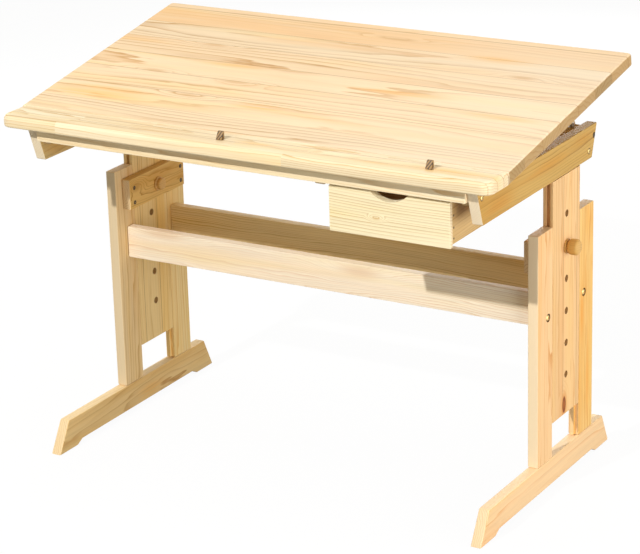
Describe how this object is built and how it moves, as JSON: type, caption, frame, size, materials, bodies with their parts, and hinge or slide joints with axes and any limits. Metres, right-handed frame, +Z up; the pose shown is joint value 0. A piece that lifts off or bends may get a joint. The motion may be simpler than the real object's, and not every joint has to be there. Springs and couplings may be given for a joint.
{
  "type": "height-adjustable desk",
  "caption": "Pine desk with a tilting top behind a fixed front strip, T-shaped legs with sliding boards and lock knobs for the height, and a hung drawer.",
  "frame": {"origin": "on the floor, under the middle of the desk's box", "axes": "+X to the right of a person sitting at the desk, -Y towards that person, +Z up"},
  "size_m": [1.09, 0.6345, 0.8358],
  "materials": {
    "pine": "clear satin lacquer",
    "pine_pale": "clear satin lacquer",
    "pine_gold": "clear satin lacquer",
    "plywood": "raw plywood",
    "dark_wood": "dark stain",
    "brass": "satin",
    "steel": "zinc plated"
  },
  "bodies": {
    "base": {"foot_left": "pine", "foot_right": "pine", "upright_left_front": "pine", "upright_left_rear": "pine", "upright_right_front": "pine", "upright_right_rear": "pine", "cleat_left": "pine", "cleat_right": "pine", "lock_nut_left": "pine", "lock_nut_right": "pine", "stretcher_front": "pine_pale", "stretcher_rear": "pine_pale", "stretcher_bolt_left_front": "brass", "stretcher_bolt_left_rear": "brass", "stretcher_bolt_right_front": "brass", "stretcher_bolt_right_rear": "brass", "barrel_nut_left_front": "steel", "barrel_nut_left_rear": "steel", "barrel_nut_right_front": "steel", "barrel_nut_right_rear": "steel"},
    "frame": {"slide_board_left": "pine", "slide_board_right": "pine", "side_rail_left": "pine_gold", "side_rail_right": "pine_gold", "tilt_rack_left": "pine_gold", "tilt_rack_right": "pine_gold", "front_apron": "pine_pale", "rear_rail": "pine", "drawer_hanger": "pine", "drawer_runner_left": "pine", "drawer_runner_right": "pine", "front_strip": "pine_pale", "strip_stop_left": "dark_wood", "strip_stop_right": "dark_wood", "hinge_leaf_fixed_left": "brass", "hinge_leaf_fixed_right": "brass", "hinge_pin_left": "steel", "hinge_pin_right": "steel"},
    "panel": {"top_panel": "pine_pale", "panel_batten_left": "pine", "panel_batten_right": "pine", "hinge_leaf_moving_left": "brass", "hinge_leaf_moving_right": "brass", "prop_pin_left": "steel", "prop_pin_right": "steel"},
    "prop": {"prop_arm_left": "pine", "prop_arm_right": "pine", "prop_bar": "steel"},
    "drawer": {"drawer_front": "pine_pale", "drawer_side_left": "pine", "drawer_side_right": "pine", "drawer_back": "pine", "drawer_bottom": "plywood"},
    "lock_left": {"lock_knob_left": "pine", "lock_stud_left": "steel"},
    "lock_right": {"lock_knob_right": "pine", "lock_stud_right": "steel"}
  },
  "joints": [
    {"name": "height", "type": "slide", "parent": "base", "child": "frame", "axis": [0, 0, 1], "range_m": [-0.0675, 0.27]},
    {"name": "tilt", "type": "hinge", "parent": "frame", "child": "panel", "pos_m": [0, -0.23957, 0.738], "axis": [1, 0, 0], "range_deg": [-9.5, 15.5]},
    {"name": "prop_swing", "type": "hinge", "parent": "panel", "child": "prop", "pos_m": [0, -0.0178, 0.74571], "axis": [1, 0, 0], "range_deg": [-31.5, 19.5]},
    {"name": "drawer_slide", "type": "slide", "parent": "frame", "child": "drawer", "axis": [0, -1, 0], "range_m": [0, 0.2]},
    {"name": "lock_pull_left", "type": "slide", "parent": "frame", "child": "lock_left", "axis": [-1, 0, 0], "range_m": [0, 0.045]},
    {"name": "lock_pull_right", "type": "slide", "parent": "frame", "child": "lock_right", "axis": [1, 0, 0], "range_m": [0, 0.045]}
  ],
  "couplings": [
    {"joint": "prop_swing", "follows": "tilt", "ratio": -2.011}
  ]
}
